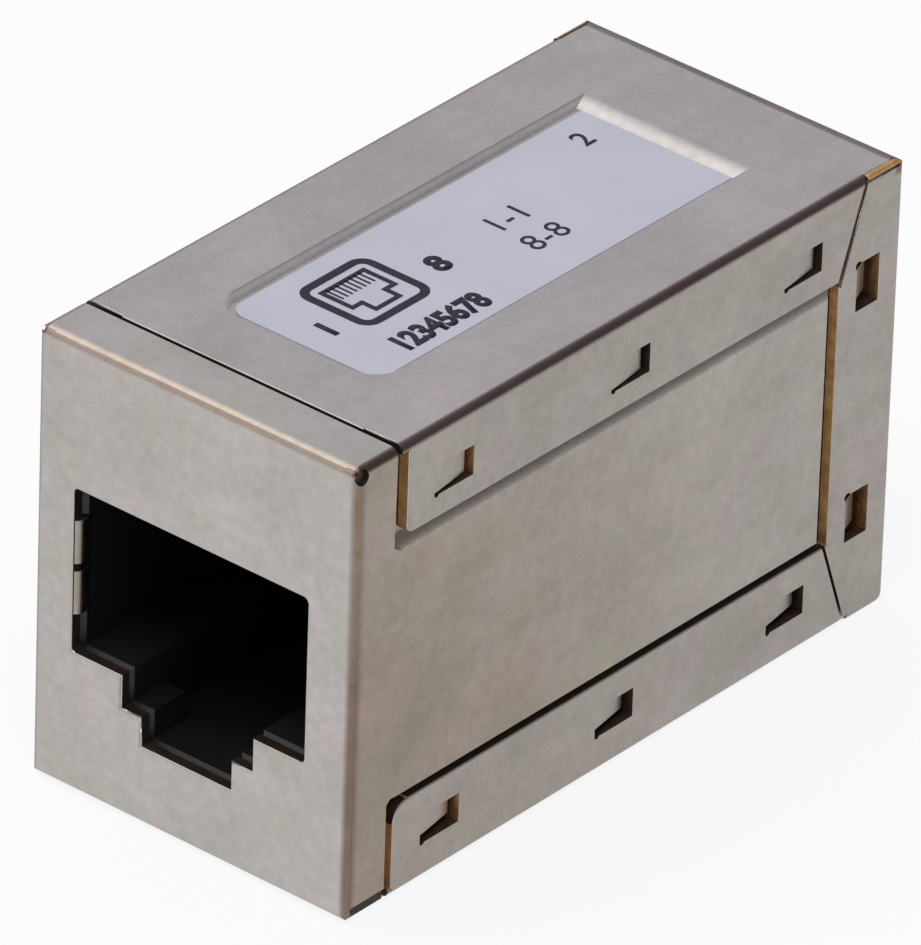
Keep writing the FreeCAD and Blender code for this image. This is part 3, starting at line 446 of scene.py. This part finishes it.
def face_kind(face):
    """Which surface a face of a folded sheet has: plated, sheared, or sheared with painted shade or
    painted deep shade.
    """
    n = face.normal
    xs = [v.co.x for v in face.verts]
    ys = [v.co.y for v in face.verts]
    zs = [v.co.z for v in face.verts]
    sides = [abs(x) for x in xs]
    ends = [abs(y) for y in ys]
    one_side = max(xs) - min(xs) < 1.5 * MM
    window = all(in_window(v.co) for v in face.verts)
    in_wall = one_side and min(sides) > HALF - 2 * SHEET - 2 * TOL and abs(n.x) < 0.3
    folded = max(zs) > HEIGHT - TOL or min(zs) < TOL or max(ends) > REACH - TOL
    if in_wall and not folded:
        in_corner = max(ys) < MM - REACH and min(zs) > HEIGHT - MM
        beside_panel = n.z > 0.9 and max(ys) > min(ys) + LONG_RUN
        foot_arc = (0.05 < n.z < 0.99 and abs(n.y) > 0.05 and max(zs) < HEIGHT / 2
                    and not window)
        # Painted deep shade on the cut faces in the corner hole, in the gap above the lower flap and
        # round the foot's corner.
        if in_corner or beside_panel or foot_arc:
            return PAINTED_DEEP_SHADE
        inner_row = max(ys) < REACH - 3.5 * MM and min(ys) > 8 * MM - REACH
        # Painted shade on the cut faces of the inner windows and on the upward cut faces of every
        # window.
        if window and (inner_row or n.z > 0.4):
            return PAINTED_SHADE
        under_flap = n.z < -0.9 and min(zs) > HEIGHT / 2 and max(ys) > min(ys) + LONG_RUN
        return PLATED if under_flap else CUT
    in_end = min(ends) > REACH - SHEET - TOL and max(ends) - min(ends) > 0.3 * SHEET
    in_port = max(sides) < HALF - SHEET - TOL and max(zs) < HEIGHT - 2 * SHEET
    # Painted deep shade on the cut faces round the port.
    if in_end and abs(n.y) < 0.2 and in_port:
        return PAINTED_DEEP_SHADE
    in_roof = min(zs) > HEIGHT - SHEET - TOL
    in_base = max(zs) < SHEET + TOL
    # Painted deep shade on the cut faces along the top seam and the base.
    if abs(n.y) > 0.7 and max(ends) < REACH - MM:
        if in_base or in_roof and max(sides) > 5 * MM:
            return PAINTED_DEEP_SHADE
    under_front = in_base and max(sides) < HALF - 0.1 * MM and max(ys) < 4 * MM - REACH
    # Painted deep shade on the ends of the bottom flange under the front.
    if one_side and under_front and abs(n.x) > 0.9:
        return PAINTED_DEEP_SHADE
    behind = (min(ys) > REACH - 2.5 * MM and min(sides) > HALF - 0.32 * MM
              and min(zs) > HEIGHT - 0.32 * MM)
    if one_side and behind and abs(n.y) < 0.3 and 0.05 < abs(n.x) < 0.995:
        return CUT
    return PLATED


def on_skin(co):
    """True for a point on the outside of the body."""
    return abs(co.x) > HALF - ON or co.z > HEIGHT - ON or co.z < ON or abs(co.y) > REACH - ON


def in_window(co):
    """True near a window of a locking tab or the corner hole, whose edges stay sharp."""
    y, z = (co.y + REACH) / MM, co.z / MM
    return abs(co.x) > HALF - 1.2 * MM and any(a < y < b and c < z < d for a, b, c, d in WINDOWS)


def with_borders(faces):
    """The faces with their edges and corners."""
    edges = {edge for face in faces for edge in face.edges}
    verts = {vert for face in faces for vert in face.verts}
    return faces + list(edges) + list(verts)


def split_at_depth(bm, depth):
    """Adds a line round every cut face, a little way in from the outside."""
    for place, normal in (((HALF - depth, 0, 0), (1, 0, 0)), ((depth - HALF, 0, 0), (-1, 0, 0)),
                          ((0, 0, HEIGHT - depth), (0, 0, 1)), ((0, 0, depth), (0, 0, -1))):
        near = [f for f in bm.faces if f.material_index in SHEARED
                and not any(in_window(v.co) for v in f.verts)]
        bmesh.ops.bisect_plane(bm, geom=with_borders(near), dist=0.001 * MM, plane_co=place,
                               plane_no=normal)
    for sign in (-1, 1):
        near = [f for f in bm.faces if f.material_index == PAINTED_DEEP_SHADE
                and min(abs(v.co.y) for v in f.verts) > REACH - SHEET - TOL]
        bmesh.ops.bisect_plane(bm, geom=with_borders(near), dist=0.001 * MM,
                               plane_co=(0, sign * (REACH - PORT_EASE), 0), plane_no=(0, sign, 0))


def ease_edges(bm):
    """Draws the outline of every cut back along the outside, which leaves a small slope at its edge."""
    moves = {}
    for vert in bm.verts:
        if not on_skin(vert.co) or in_window(vert.co):
            continue
        cuts = [f.normal for f in vert.link_faces if f.material_index in SHEARED]
        if not cuts or all(f.material_index != PLATED for f in vert.link_faces):
            continue
        in_end = abs(vert.co.y) > REACH - ON and abs(vert.co.x) < HALF - MM
        different = [cuts[0]]
        for n in cuts[1:]:
            if all(n.dot(m) < 0.9 for m in different):
                different.append(n)
        if len(different) > 2:
            continue
        way = sum(different, Vector())
        if len(different) == 2:
            way /= max(0.3, 1 + different[0].dot(different[1]))
        moves[vert] = -way * (PORT_EASE if in_end else EASE)
    for vert, move in moves.items():
        vert.co += move
    bm.normal_update()
    for face in bm.faces:
        if face.material_index in SHEARED and any(v in moves for v in face.verts):
            depth = PORT_EASE if min(abs(v.co.y) for v in face.verts) > REACH - SHEET else EASE
            if all(near_skin(v.co, depth) for v in face.verts):
                face.material_index = BLEND


def near_skin(co, depth):
    """True for a point no deeper below the outside than depth."""
    reach = depth + 0.003 * MM
    return (abs(co.x) > HALF - reach or co.z > HEIGHT - reach or co.z < reach
            or abs(co.y) > REACH - reach)


def skin_normal(co, n):
    """Exact direction of the outside at a point of a facet whose own direction is n."""
    if max(abs(k) for k in n) > 0.9995:
        return n
    turned = n
    in_side_fold = abs(co.x) > HALF - FOLD - NEAR
    if abs(n.x) < 0.004 and abs(co.y) > REACH - FACE_FOLD - NEAR:
        hub_z = HEIGHT - FACE_FOLD if co.z > HEIGHT / 2 else FACE_FOLD
        angle = math.atan2(abs(co.z - hub_z), abs(co.y) - REACH + FACE_FOLD)
        angle = min(max(TIGHT * (angle - math.pi / 4) + math.pi / 4, 0), math.pi / 2)
        return Vector((0, math.copysign(math.cos(angle), co.y),
                       math.copysign(math.sin(angle), co.z - hub_z)))
    if abs(n.z) < 0.004 and abs(co.y) > REACH - FOLD - NEAR and in_side_fold:
        turned = Vector((co.x - math.copysign(HALF - FOLD, co.x),
                         co.y - math.copysign(REACH - FOLD, co.y), 0))
    elif abs(n.y) < 0.004 and in_side_fold:
        radius = REAR_EDGE if co.y > MITRE_TOP + 0.02 * MM else FOLD
        hub_z = HEIGHT - radius if co.z > HEIGHT / 2 else radius
        turned = Vector((co.x - math.copysign(HALF - radius, co.x), 0, co.z - hub_z))
    if turned.length < 0.1 * MM or turned.normalized().dot(n) < 0.9:
        return n
    return turned.normalized()


def soft_wall(co, n):
    """Direction at a point of a pressed slope, which leaves the face above it by a soft bend."""
    flat = math.hypot(n.x, n.y)
    across = Vector((n.x, n.y, 0)) / flat
    top = co.z > HEIGHT - NEAR
    if n.z < 0.75:
        return across * (0.06 if top else 0.42) + Vector((0, 0, 1))
    return across * (0.0 if top else 0.75) + Vector((0, 0, 1))


def flat_skin(co):
    """Direction of the flat outside nearest to a point."""
    ways = [(HALF - abs(co.x), Vector((math.copysign(1, co.x), 0, 0))),
            (HEIGHT - co.z, Vector((0, 0, 1))), (co.z, Vector((0, 0, -1))),
            (REACH - abs(co.y), Vector((0, math.copysign(1, co.y), 0)))]
    return min(ways, key=lambda way: way[0])[1]


def lean_tabs(bm):
    """Bends the free end of every locking tab a little further into its window."""
    moves = {}
    for face in bm.faces:
        n = face.normal
        leaning = 0.7 < abs(n.x) < 0.9995 and 0.02 < abs(n.y) < 0.7 and abs(n.z) < 0.05
        if leaning and all(in_window(v.co) for v in face.verts):
            ys = [v.co.y for v in face.verts]
            hinge, length = min(ys), max(ys) - min(ys)
            for vert in face.verts:
                moves[vert] = TAB_EXTRA * (vert.co.y - hinge) / length
    for vert, move in moves.items():
        vert.co.x -= math.copysign(move, vert.co.x)
    bm.normal_update()


def slope_recess(bm):
    """Leans the long walls and the front of the label recess outwards."""
    moves = {}
    for face in bm.faces:
        if in_recess_wall(face) and face.normal.z < 0.3:
            for vert in face.verts:
                if vert.co.z > HEIGHT - NEAR:
                    moves.setdefault(vert, []).append(face.normal.copy())
    for vert, ways in moves.items():
        way = sum(ways, Vector())
        vert.co -= way.normalized() * RECESS_LEAN
    bm.normal_update()


def in_recess_wall(face):
    """True for the walls and the rear slope of the label recess."""
    low = min(v.co.z for v in face.verts)
    inside = all(abs(v.co.x) < HALF - 2 * MM and abs(v.co.y) < REACH - 3 * MM for v in face.verts)
    return inside and low > HEIGHT - RECESS_DEEP and -0.01 < face.normal.z < 0.99


def on_panel_slope(face):
    """True for the slopes round the raised side panel."""
    n = face.normal
    beside = all(abs(v.co.x) > HALF - 1.1 * MM and abs(v.co.y) < REACH - 2.5 * MM for v in face.verts)
    return beside and 0.3 < abs(n.x) < 0.95 and 1.5 * MM < face.verts[0].co.z < HEIGHT - 1.5 * MM


def folded_sheet(node, material):
    """Dresses one folded sheet: merged facets, sorted surfaces, eased cuts and exact directions."""
    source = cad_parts[node]
    bm = bmesh.new()
    bm.from_mesh(source.data)
    bm.transform(source.matrix_world)
    bmesh.ops.remove_doubles(bm, verts=bm.verts, dist=0.002 * MM)
    bmesh.ops.dissolve_limit(bm, angle_limit=math.radians(0.5), verts=bm.verts, edges=bm.edges)
    bm.normal_update()
    for face in bm.faces:
        face.smooth = True
        face.material_index = face_kind(face)
    lean_tabs(bm)
    split_at_depth(bm, EASE)
    bm.normal_update()
    cut_way = {v.co.to_tuple(7): f.normal.copy() for f in bm.faces if f.material_index in SHEARED
               for v in f.verts if not on_skin(v.co)}
    ease_edges(bm)
    slope_recess(bm)
    normals = []
    for face in bm.faces:
        for loop in face.loops:
            co = loop.vert.co
            if in_recess_wall(face):
                normals.append(soft_wall(co, face.normal))
            elif on_panel_slope(face):
                outer = abs(co.x) > HALF - 0.02 * MM
                pull = math.copysign(1.6 if outer else 0.3, co.x)
                normals.append(face.normal + Vector((pull, 0, 0)))
            elif face.material_index == PLATED:
                normals.append(skin_normal(co, face.normal))
            elif face.material_index == BLEND:
                inward = cut_way.get(co.to_tuple(7), face.normal)
                normals.append(flat_skin(co) if on_skin(co) else inward)
            else:
                normals.append(face.normal.copy())
    for face in bm.faces:
        if face.material_index == BLEND:
            face.material_index = PLATED
    mesh = mesh_from(bm, node + "_sheet", material, CUT_EDGE, PAINTED_DEEP_SHADE_EDGE, PAINTED_SHADE_EDGE)
    normals = [n.normalized() for n in normals]
    flank = mesh.attributes.new("flank", "FLOAT", "CORNER")
    flank.data.foreach_set("value", [abs(n.x) for n in normals])
    mesh.normals_split_custom_set(normals)
    obj = add_object(node + "_sheet", mesh)
    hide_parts(node)
    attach(obj, "root")


folded_sheet("front_shell", NICKEL_SHELL)
folded_sheet("wrap_cover", NICKEL_WRAP)

HOLE_RADIUS = 0.33 * MM         # the hole at the folded corner
HOLE_IN = 0.42 * MM             # its axis, from the front face and from the top
FOLD_HIGH = FACE_FOLD - (FACE_FOLD - HOLE_IN) * math.sqrt(2)    # from its axis to the fold's outside
PLUG_LONG = 0.5 * MM
SKIN_WIDE, SKIN_THICK = 0.13 * MM, 0.1 * MM


def corner_plug(side):
    """Metal at the inner end of the relief hole: its end wall in painted-shade brass, and the skin of
    the fold above it.
    """
    bm = bmesh.new()
    end = bmesh.ops.create_cone(bm, cap_ends=True, segments=40, radius1=0.9 * HOLE_RADIUS,
                                radius2=0.9 * HOLE_RADIUS, depth=PLUG_LONG)
    bmesh.ops.transform(bm, matrix=Matrix.Rotation(math.radians(90), 4, "Y"), verts=end["verts"])
    # The end wall takes the painted-shade brass, standing in for the dark inside of the hole.
    for face in bm.faces:
        face.material_index = 1
    turn = Matrix.Rotation(math.radians(45), 4, "X")
    lift = Matrix.Translation((0, 0, FOLD_HIGH - SKIN_THICK / 2 - 0.0015 * MM))
    size = Matrix.Diagonal((PLUG_LONG, SKIN_WIDE, SKIN_THICK, 1))
    bmesh.ops.create_cube(bm, size=1.0, matrix=turn @ lift @ size)
    bm.transform(Matrix.Translation((side * (HALF - 0.47 * MM), HOLE_IN - REACH, HEIGHT - HOLE_IN)))
    name = "corner_plug_" + ("right" if side > 0 else "left")
    obj = add_object(name, mesh_from(bm, name, NICKEL_SHELL, PAINTED_SHADE_EDGE))
    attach(obj, "root")


corner_plug(1)
corner_plug(-1)

FINISHES = (("label", PAPER), ("housing", BLACK), ("carrier", COMB), ("contact", GOLD), ("board", GREEN))
for name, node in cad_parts.items():
    if name in ("front_shell", "wrap_cover"):
        continue
    finish = next(material for part, material in FINISHES if part in name)
    for slot in node.material_slots:
        slot.material = finish


# ---------------------------------------------------------------- label print
INK_HIGH = 0.012 * MM
INK_LIFT = 0.002 * MM


def place_on_label(bm, x, y, size):
    """Turns flat artwork in unit size so that it reads along +Y with its top toward -X."""
    turn = Matrix.Rotation(math.radians(90), 4, "Z")
    move = Matrix.Translation((x * MM, y * MM - REACH, LABEL_TOP + INK_LIFT))
    bm.transform(move @ turn @ Matrix.Scale(size * MM, 4))


def ink_piece(name, bm):
    obj = add_object(name, mesh_from(bm, name, INK))
    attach(obj, "root")


def raise_flat(bm):
    """Gives flat artwork the thickness of the ink."""
    made = bmesh.ops.extrude_face_region(bm, geom=list(bm.faces))
    moved = [g for g in made["geom"] if isinstance(g, bmesh.types.BMVert)]
    bmesh.ops.translate(bm, verts=moved, vec=(0, 0, INK_HIGH))
    bmesh.ops.recalc_face_normals(bm, faces=bm.faces)


def digits(name, text, x, y, size, weight=0.0, spacing=1.0, slim=1.0):
    """Plain numerals starting at x, y, with their cap height equal to size."""
    curve = bpy.data.curves.new(name + "_type", "FONT")
    curve.body = text
    curve.size = 1.0
    curve.offset = weight
    curve.space_character = spacing
    curve.resolution_u = 4
    holder = add_object(name + "_type", curve)
    bpy.context.view_layer.update()
    flat = bpy.data.meshes.new_from_object(holder)
    bm = bmesh.new()
    bm.from_mesh(flat)
    bpy.data.objects.remove(holder)
    bpy.data.curves.remove(curve)
    bpy.data.meshes.remove(flat)
    tall = max(v.co.y for v in bm.verts)
    bm.transform(Matrix.Diagonal((slim / tall, 1 / tall, 1, 1)))
    place_on_label(bm, x, y, size)
    raise_flat(bm)
    ink_piece(name, bm)


def band(bm, points, width):
    """Closed outline of one width, mitred at its corners."""
    count = len(points)
    inner, outer = [], []
    for i in range(count):
        a, b, c = (Vector(points[(i + k) % count]) for k in (-1, 0, 1))
        n1 = Vector((-(b - a).y, (b - a).x)).normalized()
        n2 = Vector((-(c - b).y, (c - b).x)).normalized()
        mid = (n1 + n2).normalized()
        reach = width / 2 / max(0.35, mid.dot(n1))
        inner.append(bm.verts.new((*(b + mid * reach), 0)))
        outer.append(bm.verts.new((*(b - mid * reach), 0)))
    for i in range(count):
        j = (i + 1) % count
        bm.faces.new((inner[i], inner[j], outer[j], outer[i]))


def bar(bm, x0, y0, x1, y1):
    """Plain stroke between two opposite corners."""
    corners = [bm.verts.new((x, y, 0)) for x, y in ((x0, y0), (x1, y0), (x1, y1), (x0, y1))]
    bm.faces.new(corners)


def rounded(x0, y0, x1, y1, r, steps=6):
    """Outline of a rectangle with rounded corners."""
    points = []
    for cx, cy, start in ((x1 - r, y0 + r, -90), (x1 - r, y1 - r, 0),
                          (x0 + r, y1 - r, 90), (x0 + r, y0 + r, 180)):
        for i in range(steps + 1):
            a = math.radians(start + 90 * i / steps)
            points.append((cx + r * math.cos(a), cy + r * math.sin(a)))
    return points


def socket_symbol():
    """Plain picture of a socket: frame, stepped opening and eight contact strokes."""
    bm = bmesh.new()
    band(bm, rounded(0, 0, 3.75, 3.6, 0.55), 0.40)
    steps = [(0.62, 2.95), (0.62, 1.35), (1.18, 1.35), (1.18, 0.62), (2.57, 0.62), (2.57, 1.35),
             (3.13, 1.35), (3.13, 2.95)]
    band(bm, steps, 0.24)
    for i in range(8):
        x = 0.89 + i * 0.27
        bar(bm, x - 0.05, 2.05, x + 0.05, 2.95)
    place_on_label(bm, 1.05, 9.0, 1.0)
    raise_flat(bm)
    ink_piece("print_socket", bm)


socket_symbol()
digits("print_row", "12345678", 3.4, 8.5, 1.2, 0.05, 1.0, 0.84)
digits("print_one", "1", 0.55, 7.3, 1.1, 0.045)
digits("print_eight", "8", 0.45, 14.1, 1.2, 0.045)
digits("print_upper", "1-1", 0.15, 17.9, 1.15, 0.0, 1.05)
digits("print_lower", "8-8", 2.15, 17.9, 1.15, 0.0, 1.05)
digits("print_end", "2", -1.75, 25.5, 1.05, 0.01)

# ---------------------------------------------------------------- floor, light, camera
FLOOR_SHARE = 0.85              # white of its own; the rest is lit and keeps the object's shadow
floor_mat = bpy.data.materials.new("pale_floor")
floor_mat.use_nodes = True
tree = Graph(floor_mat.node_tree)
floor_mat.node_tree.nodes.clear()
out = tree.node("ShaderNodeOutputMaterial")
seen = tree.node("ShaderNodeEmission")
seen.inputs["Color"].default_value = (1, 1, 1, 1)
lit = tree.node("ShaderNodeBsdfDiffuse")
lit.inputs["Color"].default_value = (0.80, 0.79, 0.78, 1)
path = tree.node("ShaderNodeLightPath")
mirrored = tree.math("MAXIMUM", path.outputs["Is Glossy Ray"], path.outputs["Is Transmission Ray"])
share = tree.math("MULTIPLY", tree.math("MAXIMUM", path.outputs["Is Camera Ray"], mirrored),
                  FLOOR_SHARE)
blend = tree.node("ShaderNodeMixShader")
tree.link(share, blend.inputs["Fac"])
tree.link(lit.outputs["BSDF"], blend.inputs[1])
tree.link(seen.outputs["Emission"], blend.inputs[2])
tree.link(blend.outputs["Shader"], out.inputs["Surface"])
bm = bmesh.new()
bmesh.ops.create_grid(bm, x_segments=1, y_segments=1, size=1.5)
floor = add_object("floor", mesh_from(bm, "floor", floor_mat))

world = bpy.data.worlds.new("studio")
world.use_nodes = True
sky = Graph(world.node_tree)
background = world.node_tree.nodes["Background"]
way = sky.node("ShaderNodeTexCoord").outputs["Generated"]
seen_sky = sky.node("ShaderNodeLightPath").outputs["Is Camera Ray"]
STUDIO = 0.54                   # strength of the world away from its brighter and darker parts


def sky_part(axis, start, end, amount):
    """Soft round part of the world about an axis, from nothing at start to its amount at end."""
    return sky.remap(sky.dot(way, axis), start, end, 0.0, amount)


bright = sky_part((-0.55, -0.06, 0.83), 0.72, 1.0, 0.90)
broad = sky_part((-0.54, -0.50, 0.64), 0.2, 1.0, 0.20)
back = sky_part((-0.54, 0.66, 0.52), 0.5, 1.0, 0.18)
shade = sky_part((0.52, 0.66, 0.54), 0.60, 0.92, 0.28)
lift = sky.math("ADD", sky.math("ADD", bright, broad), back)
level = sky.math("SUBTRACT", sky.math("ADD", lift, STUDIO), shade)
sky.link(sky.math("MAXIMUM", level, seen_sky), background.inputs["Strength"])
tint = sky.mix(bright, (0.965, 0.945, 1.0, 1), (1.0, 0.965, 0.93, 1))
sky.link(sky.mix(seen_sky, tint, (1, 1, 1, 1)), background.inputs["Color"])
bpy.context.scene.world = world


def soft_light(name, place, aim, wide, high, power):
    """Rectangular lamp at a place, turned towards its aim."""
    data = bpy.data.lights.new(name, "AREA")
    data.shape = "RECTANGLE"
    data.size = wide
    data.size_y = high
    data.energy = power
    obj = add_object(name, data)
    obj.location = place
    obj.rotation_euler = (Vector(aim) - Vector(place)).to_track_quat("-Z", "Y").to_euler()


soft_light("key", (0.24, -0.33, 0.86), (0, 0, 0.01), 0.5, 0.45, 3.4)


def camera():
    """Long lens from the front right, a little above, turned slightly about its own axis."""
    azimuth, elevation, roll = map(math.radians, (39.45, 31.19, 1.954))
    back = Vector((math.sin(azimuth) * math.cos(elevation), -math.cos(azimuth) * math.cos(elevation),
                   math.sin(elevation)))
    right = Vector((0, 0, 1)).cross(back).normalized()
    up = back.cross(right)
    right, up = (math.cos(roll) * right + math.sin(roll) * up,
                 -math.sin(roll) * right + math.cos(roll) * up)
    data = bpy.data.cameras.new("camera")
    data.sensor_fit = "AUTO"
    data.sensor_width = 36
    data.lens = 595.7
    data.clip_start = 0.01
    data.clip_end = 20
    obj = add_object("camera", data)
    place = back * (38.16387 * WIDTH) + right * (-0.00261 * WIDTH) + up * (0.51768 * WIDTH)
    turn = Matrix((right, up, back)).transposed().to_4x4()
    obj.matrix_world = Matrix.Translation(place) @ turn
    bpy.context.scene.camera = obj


camera()
bpy.context.scene.view_settings.view_transform = "Standard"
bpy.context.scene.view_settings.look = "None"
